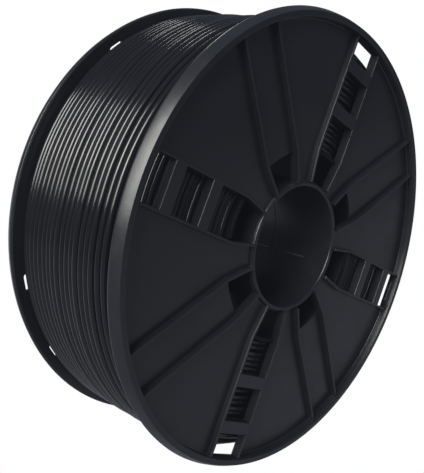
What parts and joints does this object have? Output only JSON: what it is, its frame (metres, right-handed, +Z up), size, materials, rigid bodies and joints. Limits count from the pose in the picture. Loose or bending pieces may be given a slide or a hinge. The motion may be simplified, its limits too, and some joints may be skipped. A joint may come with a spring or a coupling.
{
  "type": "filament spool",
  "caption": "Dark plastic reel wound with 3D-printer filament: two ribbed flanges with ladder windows, raised rim lips, an open round bore and a drum between them.",
  "frame": {"origin": "middle of the bore, halfway between the two flanges", "axes": "+Z up; +Y along the bore from the front flange to the rear flange, so the front flange faces -Y; +X to the right seen from the front"},
  "size_m": [0.1998, 0.074, 0.1998],
  "materials": {
    "flange_plastic": "fine-textured satin, moulded",
    "drum_plastic": "smooth moulded",
    "filament": "glossy extruded strand"
  },
  "bodies": {
    "root": {"front_flange": "flange_plastic", "rear_flange": "flange_plastic", "winding_drum": "drum_plastic", "filament_winding": "filament"}
  },
  "joints": []
}
